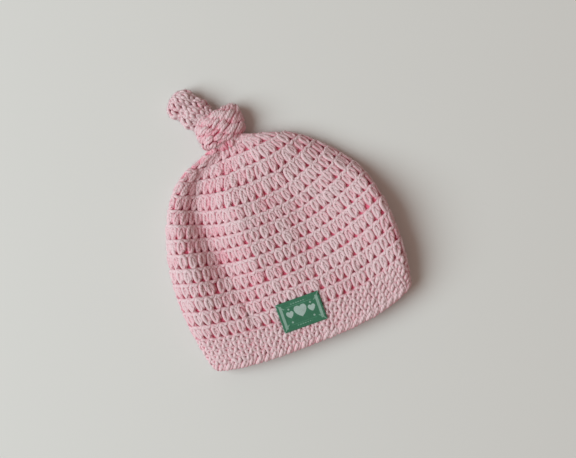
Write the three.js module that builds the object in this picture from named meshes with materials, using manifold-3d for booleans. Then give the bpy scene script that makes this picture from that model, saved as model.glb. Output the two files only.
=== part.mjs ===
// Crocheted baby beanie with a knotted tail, lying flat on its back layer.
// Millimetres. X runs across the brim, +Y from the brim to the tail, +Z up from the resting surface.
import * as THREE from 'three';
import { mergeVertices } from 'three/addons/utils/BufferGeometryUtils.js';
import Module from 'manifold-3d';

const wasm = await Module();
wasm.setup();

// ---- Driving dimensions -------------------------------------------------------------------------

// The pouch: the hat's closed crown and body, pressed flat. Y is 0 at the line between brim corners.
const WIDEST_HALF = 80.6;      // half the width at the widest round
const WIDEST_Y = 45;           // where that round is
const CROWN_TOP_Y = 144;       // where the crown's outline would close
const BRIM_PULL_IN = 6.3;      // how much each side pulls in at the brim line
const SIDE_POWER = 2.3;        // fullness of the crown's outline, along and across
const SIDE_ROOT = 2.2;
const CROWN_CUT_Y = 141.2;     // the crown's fabric ends here, round the neck
const LEAN_REST = -0.8;        // sideways shift of the body
const LEAN_CROWN = -3.2;       // further shift of the crown, towards the tail's side
const LEAN_FROM_Y = 92;
const LEAN_TO_Y = 130;

// Its thickness, two layers of fabric with air between them.
const FABRIC = 4.2;            // one layer of crochet
const FOLD_Z = 8;              // height of the two side folds
const PUFF_Z = 22;             // height of the front layer at its highest round
const PUFF_Y = 75;             // where that round is
const PUFF_DROP_BRIM = 7;      // how much lower the front layer is at the rim
const PUFF_DROP_CROWN = 7;     // and at the crown's top
const PUFF_POWER = 2.2;        // how late the front layer falls towards the crown
const FRONT_ARC = [5, 2.2];    // fullness across and up of the front layer's dome
const BACK_ARC = [10, 2];      // and of the back layer, which lies flat
const SIDE_FABRIC = 1.25;      // the fabric is this much thicker where it folds at the sides
const CROWN_FABRIC = 1.6;      // and where it gathers at the crown's top
const RIM_Y = -10;             // lowest point of the rim, at the middle
const FLOOR_TRIM = 0.3;        // depth pressed flat against the resting surface

// The rim's bow, and the seams between differently worked rounds.
const RIM_TILT = 0.03;         // rise of the rim per millimetre to the right
const RIM_BOW = 11.2;          // rise of the rim at the brim corners
const RIM_BOW_AT = 74;
const RIM_BOW_POWER = 3;
const BACK_RIM_LIFT = 2;       // the back layer's rim sits this much higher
const BAND_HEIGHT = 23;        // close-worked brim band
const CROWN_SEAM_Y = 112;      // where the tall rounds meet the crown's increase rounds
const SOFT_GAP = 0.3;          // gap between neighbouring zones of fabric
const HINGE_GAP = 1.2;         // gap where the front layer bends up from the crown

// The neck, the knot and the tail.
const NECK = new THREE.Vector3(-8, 144.5, 10.5);
const NECK_RADIUS = 5.5;
const KNOT = new THREE.Vector3(-10, 157, 9.4);
const KNOT_HALF = new THREE.Vector3(17.5, 11.4, 10);
const TAIL_BASE = new THREE.Vector3(-20.4, 165.8, 8.6);
const TAIL_BASE_RADIUS = 6.2;
const TAIL_HALF = new THREE.Vector3(10.8, 11.6, 7.6);
const TAIL_TURN = THREE.MathUtils.degToRad(27.5);
const TAIL_REACH = 13.6;       // from the tail's base to the middle of its end
const TAIL_CENTRE_Z = 7.3;
const BALL_CLEARANCE = 0.5;    // room round the neck and the tail's base, so that they can turn

// The woven label and its sewing.
const LABEL_WIDTH = 31.2;
const LABEL_HEIGHT = 20.8;
const LABEL_THICKNESS = 0.8;
const LABEL_CENTRE = new THREE.Vector2(-3.3, 14.2);
const LABEL_TURN = THREE.MathUtils.degToRad(-1.9);
const STITCH_COUNT = 8;
const SEWING_WIDTH = 0.7;
const SEWING_INSET = 1.0;
const STITCH_RISE = 0.35;      // the thread stands this high on each stitch
const THREAD_REST = 0.14;      // and this high between stitches

// The woven-in yarn end, inside the back of the brim.
const YARN_RADIUS = 1.1;
const YARN_END_X = [-64, -50];
const YARN_END_Y = 6;
const YARN_END_BEND = 2.5;
const YARN_END_LIFT = 1;       // its cut tip stands a little off the fabric

// Mesh fineness.
const RING_POINTS = 36;
const RING_COUNT = 16;
const BALL_SEGMENTS = 20;
const RING_CROWDING = 1.6;     // how much closer together the rings are towards the crown
const CURVE_STEPS = 24;        // along the rim and the seams beside it
const LABEL_COLUMNS = 10;
const LABEL_ROWS = 6;
const YARN_STEPS = 6;
const YARN_SIDES = 4;          // quarter circle steps round the yarn end

// Reach of the shapes that cut the fabric into its zones.
const CUT_DEPTH = 120;
const CUT_HALF_WIDTH = 90;
const FAR = 200;
const RIM_OVERRUN = 5;         // the uncut pouch runs on this far past the rim
const HOLLOW_OVERRUN = 9;      // and its hollow this far

// ---- The pouch's form ---------------------------------------------------------------------------

function halfWidth(y) {
  if (y < WIDEST_Y) {
    return WIDEST_HALF - BRIM_PULL_IN * ((WIDEST_Y - y) / WIDEST_Y) ** 2;
  }
  const rise = (y - WIDEST_Y) / (CROWN_TOP_Y - WIDEST_Y);
  return WIDEST_HALF * (1 - rise ** SIDE_POWER) ** (1 / SIDE_ROOT);
}

function centreX(y) {
  return LEAN_REST + LEAN_CROWN * THREE.MathUtils.smoothstep(y, LEAN_FROM_Y, LEAN_TO_Y);
}

function puffHeight(y) {
  if (y < PUFF_Y) {
    return PUFF_Z - PUFF_DROP_BRIM * ((PUFF_Y - y) / (PUFF_Y - RIM_Y)) ** 2;
  }
  return PUFF_Z - PUFF_DROP_CROWN * ((y - PUFF_Y) / (CROWN_TOP_Y - PUFF_Y)) ** PUFF_POWER;
}

// A corner-rounded arc: |x|^p + |z|^q = 1.
function roundedArc(angle, p, q) {
  const c = Math.cos(angle);
  const s = Math.sin(angle);
  return [Math.sign(c) * Math.abs(c) ** (2 / p), Math.sign(s) * Math.abs(s) ** (2 / q)];
}

// One round of the pouch: domed in front, flat behind, folded at both sides.
function pouchRing(y, inset) {
  const ring = [];
  const wide = halfWidth(y) - inset * SIDE_FABRIC;
  const up = puffHeight(y) - FOLD_Z - inset;
  const down = FOLD_Z + FLOOR_TRIM - inset;
  for (let k = 0; k < RING_POINTS; k += 1) {
    const angle = (2 * Math.PI * k) / RING_POINTS;
    const front = k <= RING_POINTS / 2;
    const [ax, az] = roundedArc(angle, ...(front ? FRONT_ARC : BACK_ARC));
    ring.push(new THREE.Vector3(centreX(y) + wide * ax, y, FOLD_Z + az * (front ? up : down)));
  }
  return ring;
}

function frontZ(x, y) {
  const across = Math.min(1, Math.abs(x - centreX(y)) / halfWidth(y));
  const [p, q] = FRONT_ARC;
  return FOLD_Z + (puffHeight(y) - FOLD_Z) * (1 - across ** p) ** (1 / q);
}

function rimY(x) {
  return RIM_Y + RIM_TILT * x + RIM_BOW * Math.abs(x / RIM_BOW_AT) ** RIM_BOW_POWER;
}

// ---- Closed meshes and cutting ------------------------------------------------------------------

function closedGeometry(points, faces) {
  const geometry = new THREE.BufferGeometry();
  geometry.setAttribute('position', new THREE.Float32BufferAttribute(points.flatMap((p) => p.toArray()), 3));
  geometry.setIndex(faces.flat());
  return geometry;
}

// Rings in order along +Y, each counter-clockwise seen from the first ring's outside.
function loft(rings) {
  const size = rings[0].length;
  const points = rings.flat();
  const faces = [];
  for (let r = 0; r + 1 < rings.length; r += 1) {
    for (let k = 0; k < size; k += 1) {
      const a = r * size + k;
      const b = r * size + ((k + 1) % size);
      faces.push([a, b + size, b], [a, a + size, b + size]);
    }
  }
  for (const [ring, first] of [[rings[0], true], [rings[rings.length - 1], false]]) {
    const centre = ring.reduce((sum, p) => sum.add(p), new THREE.Vector3()).divideScalar(size);
    const base = first ? 0 : (rings.length - 1) * size;
    points.push(centre);
    const middle = points.length - 1;
    for (let k = 0; k < size; k += 1) {
      const a = base + k;
      const b = base + ((k + 1) % size);
      faces.push(first ? [middle, a, b] : [middle, b, a]);
    }
  }
  return closedGeometry(points, faces);
}

function toSolid(geometry) {
  geometry.deleteAttribute('normal');
  geometry.deleteAttribute('uv');
  const merged = mergeVertices(geometry);
  return new wasm.Manifold(new wasm.Mesh({
    numProp: 3,
    vertProperties: new Float32Array(merged.attributes.position.array),
    triVerts: new Uint32Array(merged.index.array),
  }));
}

function fromSolid(solid) {
  const mesh = solid.getMesh();
  const geometry = new THREE.BufferGeometry();
  geometry.setAttribute('position', new THREE.BufferAttribute(new Float32Array(mesh.vertProperties), 3));
  geometry.setIndex(new THREE.BufferAttribute(new Uint32Array(mesh.triVerts), 1));
  return geometry;
}

function box(x0, x1, y0, y1, z0, z1) {
  const geometry = new THREE.BoxGeometry(x1 - x0, y1 - y0, z1 - z0);
  return toSolid(geometry.translate((x0 + x1) / 2, (y0 + y1) / 2, (z0 + z1) / 2));
}

function ball(centre, radius) {
  const half = typeof radius === 'number' ? new THREE.Vector3(radius, radius, radius) : radius;
  const geometry = new THREE.SphereGeometry(1, BALL_SEGMENTS, BALL_SEGMENTS / 2);
  return geometry.scale(half.x, half.y, half.z).translate(centre.x, centre.y, centre.z);
}

// The column of space above and below everything between two curves across the hat.
function columnBetween(lowY, highY) {
  const shape = new THREE.Shape();
  const xs = Array.from({ length: CURVE_STEPS + 1 }, (_, k) => CUT_HALF_WIDTH * ((2 * k) / CURVE_STEPS - 1));
  const low = xs.map((x) => new THREE.Vector2(x, lowY(x)));
  const high = xs.map((x) => new THREE.Vector2(x, highY(x))).reverse();
  shape.setFromPoints([...low, ...high]);
  const geometry = new THREE.ExtrudeGeometry(shape, { depth: CUT_DEPTH, bevelEnabled: false });
  return toSolid(geometry.translate(0, 0, -CUT_DEPTH / 2));
}

// ---- The hat's fabric ---------------------------------------------------------------------------

const frontSide = box(-FAR, FAR, -FAR, FAR, FOLD_Z + SOFT_GAP / 2, CUT_DEPTH);
const backSide = box(-FAR, FAR, -FAR, FAR, 0, FOLD_Z - SOFT_GAP / 2);
const aboveFloor = box(-FAR, FAR, -FAR, FAR, 0, CUT_DEPTH);

function pouchSolid(inset, fromY, toY) {
  const rings = [];
  for (let k = 0; k <= RING_COUNT; k += 1) {
    const t = k / RING_COUNT;
    rings.push(pouchRing(fromY + (toY - fromY) * (1 - (1 - t) ** RING_CROWDING), inset));
  }
  return toSolid(loft(rings));
}

const outerPouch = pouchSolid(0, RIM_Y - RIM_OVERRUN, CROWN_CUT_Y);
const innerPouch = pouchSolid(FABRIC, RIM_Y - HOLLOW_OVERRUN, CROWN_CUT_Y - FABRIC * CROWN_FABRIC);
const fabricShell = outerPouch.subtract(innerPouch).intersect(aboveFloor);

const bandTop = (x) => rimY(x) + BAND_HEIGHT;
const bandStart = (x) => bandTop(x) + SOFT_GAP;
const backRim = (x) => rimY(x) + BACK_RIM_LIFT;
const crownSeam = () => CROWN_SEAM_Y;
const crownStart = () => CROWN_SEAM_Y + HINGE_GAP;
const crownEnd = () => CROWN_CUT_Y;

const frontBrim = fabricShell.intersect(frontSide).intersect(columnBetween(rimY, bandTop));
const frontBody = fabricShell.intersect(frontSide).intersect(columnBetween(bandStart, crownSeam));
const backBrim = fabricShell.intersect(backSide).intersect(columnBetween(backRim, bandTop));
const backBody = fabricShell.intersect(backSide).intersect(columnBetween(bandStart, crownSeam));
const crown = fabricShell
  .intersect(columnBetween(crownStart, crownEnd))
  .subtract(toSolid(ball(NECK, NECK_RADIUS + BALL_CLEARANCE)));

// ---- The knotted tail ---------------------------------------------------------------------------

const knot = toSolid(ball(KNOT, KNOT_HALF))
  .subtract(toSolid(ball(NECK, NECK_RADIUS + BALL_CLEARANCE)))
  .subtract(toSolid(ball(TAIL_BASE, TAIL_BASE_RADIUS + BALL_CLEARANCE)))
  .intersect(aboveFloor);

function tailEnd() {
  const along = new THREE.Vector3(-Math.sin(TAIL_TURN), Math.cos(TAIL_TURN), 0);
  const centre = TAIL_BASE.clone().addScaledVector(along, TAIL_REACH).setZ(TAIL_CENTRE_Z);
  const blob = ball(new THREE.Vector3(), TAIL_HALF);
  blob.rotateZ(TAIL_TURN).translate(centre.x, centre.y, centre.z);
  return toSolid(blob)
    .subtract(toSolid(ball(TAIL_BASE, TAIL_BASE_RADIUS + BALL_CLEARANCE)))
    .intersect(aboveFloor);
}

// ---- The label, its sewing and the yarn end -----------------------------------------------------

function onLabel(u, v, lift) {
  const point = new THREE.Vector2(u, v).rotateAround(new THREE.Vector2(), LABEL_TURN).add(LABEL_CENTRE);
  return new THREE.Vector3(point.x, point.y, frontZ(point.x, point.y) + lift);
}

// A thin plate that lies on the front layer, from lift up to lift plus its thickness at each row.
function plate(halfU, halfV, centreU, lift, thicknessAt, columns, rows) {
  const rings = [];
  for (let r = 0; r <= rows; r += 1) {
    const v = halfV * (2 * r / rows - 1);
    const upper = [];
    const lower = [];
    for (let c = 0; c <= columns; c += 1) {
      const u = centreU + halfU * (2 * c / columns - 1);
      upper.unshift(onLabel(u, v, lift + thicknessAt(r)));
      lower.push(onLabel(u, v, lift));
    }
    rings.push([...upper, ...lower]);
  }
  return loft(rings);
}

const label = plate(
  LABEL_WIDTH / 2, LABEL_HEIGHT / 2, 0, SOFT_GAP, () => LABEL_THICKNESS, LABEL_COLUMNS, LABEL_ROWS,
);

// The sewing thread along one end of the label: one run that rises at each stitch.
function labelSewing(side) {
  const u = side * (LABEL_WIDTH / 2 - SEWING_INSET);
  const lift = SOFT_GAP + LABEL_THICKNESS + SOFT_GAP;
  const rise = (row) => (row % 2 === 1 ? STITCH_RISE : THREAD_REST);
  return plate(SEWING_WIDTH / 2, LABEL_HEIGHT / 2, u, lift, rise, 1, 2 * STITCH_COUNT);
}

function yarnEnd() {
  const z = FABRIC + SOFT_GAP + YARN_RADIUS;
  const middle = (YARN_END_X[0] + YARN_END_X[1]) / 2;
  const path = new THREE.QuadraticBezierCurve3(
    new THREE.Vector3(YARN_END_X[0], YARN_END_Y, z + YARN_END_LIFT),
    new THREE.Vector3(middle, YARN_END_Y + YARN_END_BEND, z),
    new THREE.Vector3(YARN_END_X[1], YARN_END_Y, z),
  );
  const section = new THREE.Shape().absarc(0, 0, YARN_RADIUS, 0, 2 * Math.PI);
  return new THREE.ExtrudeGeometry(section, {
    extrudePath: path, steps: YARN_STEPS, curveSegments: YARN_SIDES, bevelEnabled: false,
  });
}

// ---- The assembled hat --------------------------------------------------------------------------

const yarn = { color: 0xd7aab0, roughness: 0.95, metalness: 0 };
const labelCloth = { color: 0x3f7660, roughness: 0.8, metalness: 0 };
const sewingThread = { color: 0x5f9a80, roughness: 0.6, metalness: 0 };

const hat = new THREE.Group();

function addPiece(name, geometry, look) {
  const mesh = new THREE.Mesh(geometry, new THREE.MeshStandardMaterial(look));
  mesh.name = name;
  hat.add(mesh);
}

addPiece('front_brim_band', fromSolid(frontBrim), yarn);
addPiece('front_body_panel', fromSolid(frontBody), yarn);
addPiece('back_brim_band', fromSolid(backBrim), yarn);
addPiece('back_body_panel', fromSolid(backBody), yarn);
addPiece('crown_cap', fromSolid(crown), yarn);
addPiece('tail_neck', ball(NECK, NECK_RADIUS), yarn);
addPiece('tail_knot', fromSolid(knot), yarn);
addPiece('tail_root', ball(TAIL_BASE, TAIL_BASE_RADIUS), yarn);
addPiece('tail_end', fromSolid(tailEnd()), yarn);
addPiece('woven_label', label, labelCloth);
addPiece('label_sewing_left', labelSewing(-1), sewingThread);
addPiece('label_sewing_right', labelSewing(1), sewingThread);
addPiece('woven_in_yarn_end', yarnEnd(), yarn);

// The origin is under the middle of the whole hat, tail included.
const whole = new THREE.Box3().setFromObject(hat);
const middle = whole.getCenter(new THREE.Vector3());
hat.position.set(-middle.x, -middle.y, -whole.min.z);

export default hat;
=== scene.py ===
"""A crocheted baby beanie with a knotted tail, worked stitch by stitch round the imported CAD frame.

Shapes are worked out in millimetres in the hat's own frame: X across the brim, Y from the brim to the tail,
Z up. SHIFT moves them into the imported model's frame. No simulation is used: strands are laid on surfaces.
"""
import math

import bpy
import numpy as np
from mathutils import Matrix, Vector


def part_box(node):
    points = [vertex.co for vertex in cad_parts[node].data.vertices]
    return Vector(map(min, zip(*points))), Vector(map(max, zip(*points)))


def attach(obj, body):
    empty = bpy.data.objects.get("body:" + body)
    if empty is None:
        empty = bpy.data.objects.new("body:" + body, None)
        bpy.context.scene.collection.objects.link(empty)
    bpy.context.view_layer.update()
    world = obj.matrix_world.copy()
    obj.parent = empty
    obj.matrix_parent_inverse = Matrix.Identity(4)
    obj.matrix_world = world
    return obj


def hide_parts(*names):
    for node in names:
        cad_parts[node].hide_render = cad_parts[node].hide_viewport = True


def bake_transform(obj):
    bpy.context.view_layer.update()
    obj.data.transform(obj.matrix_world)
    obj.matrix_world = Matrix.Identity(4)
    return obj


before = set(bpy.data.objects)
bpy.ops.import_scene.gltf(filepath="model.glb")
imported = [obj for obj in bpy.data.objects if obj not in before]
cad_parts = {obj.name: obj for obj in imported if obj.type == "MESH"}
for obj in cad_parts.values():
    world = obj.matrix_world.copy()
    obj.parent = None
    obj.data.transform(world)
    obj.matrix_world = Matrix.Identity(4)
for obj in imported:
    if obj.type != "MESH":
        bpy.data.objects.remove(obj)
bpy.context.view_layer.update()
rng = np.random.default_rng(7)

MM = 0.001
NECK = np.array([-8.0, 144.5, 10.5])  # middle of the gathered neck, in the hat's own frame
neck_low, neck_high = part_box("tail_neck")
SHIFT = np.array((neck_low + neck_high) / 2) / MM - NECK


# ---- The pouch that the fabric follows ----

WIDEST_HALF = 80.6
WIDEST_Y = 45.0
CROWN_TOP_Y = 144.0
CROWN_ROUNDNESS = 2.3
BRIM_PULL_IN = 6.3
MIDDLE_X = -0.8
CROWN_SHIFT, CROWN_SHIFT_Y = 3.2, (92, 130)  # how far left of the brim's middle the crown lies
PUFF_Z = 22.0
PUFF_Y = 75.0
PUFF_DROP = 7.0
PUFF_FALL = 2.2  # how late the puffed height falls off towards the crown
RIM_Y = -10.0
RIGHT_X = (0, 50)  # where the right side's own shape sets in
RIGHT_BULGE, RIGHT_BULGE_Y = 0.9, (55, 95)
RIGHT_DENT, RIGHT_DENT_Y = 1.8, (120, 16)
FOLD_Z = 8.0
FOLD_DROP, FOLD_DROP_Y = 2.5, (78, 112)
SIDE_ROOT = 2.2
ROUND_FULLNESS = 3.2  # power of the cross-section at the crown, and what the body adds on each side
LEFT_FULLNESS, RIGHT_FULLNESS = 2.2, 36
FULLNESS_Y = (76, 108)
BACK_FULLNESS = 10
LEAST_REACH = 0.5
INSET = 1.9  # from the outside of the fabric to the middle of its stitches


def smooth(value, low, high):
    t = np.clip((value - low) / (high - low), 0, 1)
    return t * t * (3 - 2 * t)


def bump(value, centre, width):
    return np.exp(-(((value - centre) / width) ** 2))


def unit(vectors):
    return vectors / np.maximum(np.linalg.norm(vectors, axis=-1, keepdims=True), 1e-9)


def half_width(y):
    low = WIDEST_HALF - BRIM_PULL_IN * ((WIDEST_Y - y) / WIDEST_Y) ** 2
    rise = np.clip((y - WIDEST_Y) / (CROWN_TOP_Y - WIDEST_Y), 0, 1)
    high = WIDEST_HALF * (1 - rise ** CROWN_ROUNDNESS) ** (1 / SIDE_ROOT)
    return np.where(y < WIDEST_Y, low, high)


def centre_x(y):
    return MIDDLE_X - CROWN_SHIFT * smooth(y, *CROWN_SHIFT_Y)


def puff_height(y):
    low = PUFF_Z - PUFF_DROP * ((PUFF_Y - y) / (PUFF_Y - RIM_Y)) ** 2
    high = PUFF_Z - PUFF_DROP * (np.clip(y - PUFF_Y, 0, None) / (CROWN_TOP_Y - PUFF_Y)) ** PUFF_FALL
    return np.where(y < PUFF_Y, low, high)


def right_extra(y):
    """How much further the right side reaches than the left one."""
    return RIGHT_BULGE * (1 - smooth(y, *RIGHT_BULGE_Y)) - RIGHT_DENT * bump(y, *RIGHT_DENT_Y)


def reach(x, y):
    return half_width(y) + right_extra(y) * smooth(x, *RIGHT_X)


def fold_z(y):
    """Height of the side folds, which lie lower beside the crown."""
    return FOLD_Z - FOLD_DROP * smooth(y, *FOLD_DROP_Y)


def share_across(x, y, inset):
    """0 in the middle of the hat and 1 at its side folds."""
    return np.clip(np.abs(x - centre_x(y)) / np.maximum(reach(x, y) - inset, LEAST_REACH), 0, 1)


def dome(x, y, inset):
    """The front layer's cross-section, boxier on the right and rounder towards the crown."""
    body = (LEFT_FULLNESS + RIGHT_FULLNESS * smooth(x, *RIGHT_X)) * (1 - smooth(y, *FULLNESS_Y))
    return (1 - share_across(x, y, inset) ** (ROUND_FULLNESS + body)) ** (1 / SIDE_ROOT)


def outside_z(x, y):
    """Height of the front layer's outside."""
    return fold_z(y) + (puff_height(y) - fold_z(y)) * dome(x, y, 0)


# The long fold: x, y and depth of the points along its bottom.
VALLEY = (
    (-5, 141, 5.5), (-20, 134, 10.5), (-37, 123, 12.0), (-46, 107, 12.2), (-46, 84, 11.4), (-43, 60, 9.0),
    (-40, 42, 5.2), (-38, 28, 0.5),
)
VALLEY_LEFT, VALLEY_RIGHT = 10.5, 17.0  # how wide it is on each side
# Swells and dips of the front layer: height, then middle and width across the hat and up it.
BODY_SWELLS = ((1.6, (-20, 12), (92, 34)), (-4.2, (22, 24), (66, 40)), (2.4, (-67, 9), (0, math.inf)))
BODY_RISE, BODY_FALL = (18, 50), (118, 142)
CROWN_SWELL = (1.2, (16, 14), (124, 10))
EDGE_SWELL, EDGE_X = 4.8, (76, 21)
EDGE_RISE, EDGE_FALL = (-2, 24), (66, 100)
SWELL_SHARE = (0.2, 0.9)  # how far up the dome the swells set in


def valley_depth(x, y):
    """Depth of the fold from the knot down the left of the front layer, steeper on its outer side."""
    depth = np.zeros_like(x)
    for (xa, ya, da), (xb, yb, db) in zip(VALLEY, VALLEY[1:]):
        ax, ay = xb - xa, yb - ya
        t = np.clip(((x - xa) * ax + (y - ya) * ay) / (ax * ax + ay * ay), 0, 1)
        away = np.hypot(x - xa - t * ax, y - ya - t * ay)
        wide = np.where(x < xa + t * ax, VALLEY_LEFT, VALLEY_RIGHT)
        depth = np.maximum(depth, (da + (db - da) * t) * np.exp(-((away / wide) ** 2)))
    return depth


def swell(x, y, height, across, up):
    return height * bump(x, *across) * bump(y, *up)


def undulation(x, y):
    """How far the front layer stands above or below its plain dome."""
    body = smooth(y, *BODY_RISE) * (1 - smooth(y, *BODY_FALL))
    edge = EDGE_SWELL * bump(x, *EDGE_X) * smooth(y, *EDGE_RISE) * (1 - smooth(y, *EDGE_FALL))
    swells = sum(swell(x, y, *item) for item in BODY_SWELLS)
    return -valley_depth(x, y) + body * swells + edge + swell(x, y, *CROWN_SWELL)


def pouch_z(x, y, front):
    shape = dome(x, y, INSET)
    fold = fold_z(y)
    top = fold + (puff_height(y) - INSET - fold) * shape + undulation(x, y) * smooth(shape, *SWELL_SHARE)
    bottom = fold - (fold - INSET) * np.sqrt(1 - share_across(x, y, INSET) ** BACK_FULLNESS)
    return np.where(front, top, bottom)


# ---- Fabric closed round a tube ----

class Fabric:
    """Rows of points round a tube, by height up the fabric, with outward normals."""

    def __init__(self, heights, grid):
        self.low, self.high = float(heights[0]), float(heights[-1])
        self.grid = grid
        self.rounds = np.linalg.norm(np.roll(grid, -1, 1) - grid, axis=2).sum(1)
        around = np.roll(grid, -1, 1) - np.roll(grid, 1, 1)
        self.normals = unit(np.cross(around, np.gradient(grid, axis=0)))

    def look(self, table, tau, h):
        rows, columns = table.shape[:2]
        r = np.clip((h - self.low) / (self.high - self.low), 0, 1) * (rows - 1)
        c = np.mod(tau, 1) * columns
        r0 = np.minimum(r.astype(int), rows - 2)
        c0 = c.astype(int) % columns
        fr = (r - r0)[..., None]
        fc = (c - np.floor(c))[..., None]
        c1 = (c0 + 1) % columns
        low = table[r0, c0] * (1 - fc) + table[r0, c1] * fc
        high = table[r0 + 1, c0] * (1 - fc) + table[r0 + 1, c1] * fc
        return low * (1 - fr) + high * fr

    def place(self, tau, h, lift):
        """Points that far out of the fabric, and the fabric's normals there."""
        normal = unit(self.look(self.normals, tau, h))
        inside = np.clip(h, self.low, self.high)
        beyond = np.abs(h - inside)
        point = self.look(self.grid, tau, inside)
        nearby = self.look(self.grid, tau, inside + np.where(h < inside, 1.0, -1.0))
        point = point + (point - nearby) * beyond[..., None] + normal * lift[..., None]
        return point, normal

    def round_length(self, h):
        return float(np.interp(h, np.linspace(self.low, self.high, len(self.rounds)), self.rounds))


def travelled(points):
    """The way travelled along a line of points, at each of them."""
    return np.concatenate([[0], np.cumsum(np.linalg.norm(np.diff(points, axis=0), axis=1))])


def even_round(closed, count):
    """count points evenly spaced round a closed row."""
    total = travelled(closed)
    where = np.arange(count) * total[-1] / count
    return np.stack([np.interp(where, total, closed[:, k]) for k in range(3)], 1)


def along(points, share):
    total = travelled(points)
    where = np.clip(share, 0, 1) * total[-1]
    return np.stack([np.interp(where, total, points[:, k]) for k in range(points.shape[1])], -1)


def smooth_curve(points, count):
    """count points on a smooth curve through the given ones."""
    p = np.array(points, float)
    p = np.concatenate([[2 * p[0] - p[1]], p, [2 * p[-1] - p[-2]]])
    t = np.linspace(0, len(points) - 1, count)
    k = np.minimum(t.astype(int), len(points) - 2)
    f = (t - k)[:, None]
    a, b, c, d = p[k], p[k + 1], p[k + 2], p[k + 3]
    square, cube = 2 * a - 5 * b + 4 * c - d, 3 * b - a - 3 * c + d
    return 0.5 * (2 * b + (c - a) * f + square * f ** 2 + cube * f ** 3)


def tube_fabric(path, across, wide, thick, twist=0.0, columns=96, rows=90):
    """Fabric round a flattened tube: across is the direction of its width, wide and thick its half sizes,
    and twist how far its columns turn round it from one end to the other."""
    tangent = unit(np.gradient(path, axis=0))
    normal = unit(np.cross(across, tangent))
    across = np.cross(tangent, normal)
    angle = np.linspace(math.pi, -math.pi, columns * 2 + 1) + np.linspace(0, twist, len(path))[:, None]
    c, s = np.cos(angle)[..., None], np.sin(angle)[..., None]
    grid = path[:, None] + wide[:, None, None] * c * across[:, None]
    grid = grid + thick[:, None, None] * s * normal[:, None]
    lengths = travelled(path + thick[:, None] * normal)
    heights = np.linspace(0, lengths[-1], rows)
    even = np.array([even_round(row, columns) for row in grid])
    flat = even.reshape(len(path), -1)
    stretched = np.stack([np.interp(heights, lengths, flat[:, k]) for k in range(flat.shape[1])], 1)
    return Fabric(heights, stretched.reshape(rows, columns, 3))


# ---- Rounds of crochet ----

BAND_TOP = 23.0  # fabric height where the close brim rounds end, measured up a side fold
TALL_PITCH = 9.85
TALL_ROUNDS = 13
CROWN_END = BAND_TOP + TALL_PITCH * TALL_ROUNDS
NECK_ROUNDS = 2.6
NECK_END = CROWN_END + NECK_ROUNDS * TALL_PITCH
BRIM_ROUNDS = 5
EDGE_HEIGHT = 3.6
BRIM_PITCH = (BAND_TOP - EDGE_HEIGHT) / BRIM_ROUNDS
STITCH_WIDTH = 5.75
BODY_STITCHES = 56
LEFT_CORNER_Y, RIGHT_CORNER_Y = -2.0, 3.4
RIM_MIDDLE_Y, BAND_MIDDLE_Y = -8.6, 13  # where the rim and the top of the brim cross the hat's middle
BAND_RISE = 21.6
ROUND_SAG = 2.2  # how far the rounds hang lower in the middle
DIP, DIP_AT, DIP_WIDTH = 3.3, 0.66, 0.1  # and how much further some of them do below the crown
SPREAD_FRONT, SPREAD_BACK = 0.25, 0.42  # powers that spread a round's points from side to side
BOW, BOW_LESS, BOW_HEIGHT = 3, 0.9, 60  # power of a round's bow, less by this much over this height
BACK_RISE = 1.2  # how much higher the rounds run behind
LEAN_LATE = 6  # power that keeps the lean towards the neck near the top
GATHER_START = CROWN_END - 1.4 * TALL_PITCH
GATHER_END = NECK_END - 0.4 * TALL_PITCH
GATHER_BELOW, GATHER_LENGTH = 4.5, 8.0  # the gathered rounds, from that far below the neck's middle
GATHER_WIDE, GATHER_LESS, GATHER_THICK = 12.5, 4.5, 6.0
GATHER_DROP = 1.6
LOW_STEPS, HIGH_STEPS, ROUND_STEPS = 60, 200, 1441


def side_outline(side):
    """Points up one side fold, from the brim corner over the crown to the neck."""
    corner = LEFT_CORNER_Y if side < 0 else RIGHT_CORNER_Y
    low = np.linspace(corner, WIDEST_Y, LOW_STEPS)
    angle = np.linspace(0, math.pi / 2, HIGH_STEPS)[1:]
    high = WIDEST_Y + (CROWN_TOP_Y - INSET - WIDEST_Y) * np.sin(angle) ** (2 / CROWN_ROUNDNESS)
    wide = (WIDEST_HALF - INSET) * np.cos(angle) ** (2 / SIDE_ROOT)
    y = np.concatenate([low, high])
    half = np.concatenate([half_width(low) - INSET, wide])
    if side > 0:
        half = np.maximum(half + right_extra(y), 0)
    return np.stack([centre_x(y) + side * half, y], 1)


def middle_y(h):
    """Where a round crosses the middle of the front layer."""
    t = (h - BAND_TOP) / (CROWN_END - BAND_TOP)
    if h < BAND_TOP:
        return RIM_MIDDLE_Y + h * BAND_RISE / BAND_TOP
    dip = DIP * math.exp(-(((t - DIP_AT) / DIP_WIDTH) ** 2))
    return BAND_MIDDLE_Y + (h - BAND_TOP) - ROUND_SAG * math.sin(math.pi * min(1, t)) - dip


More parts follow.
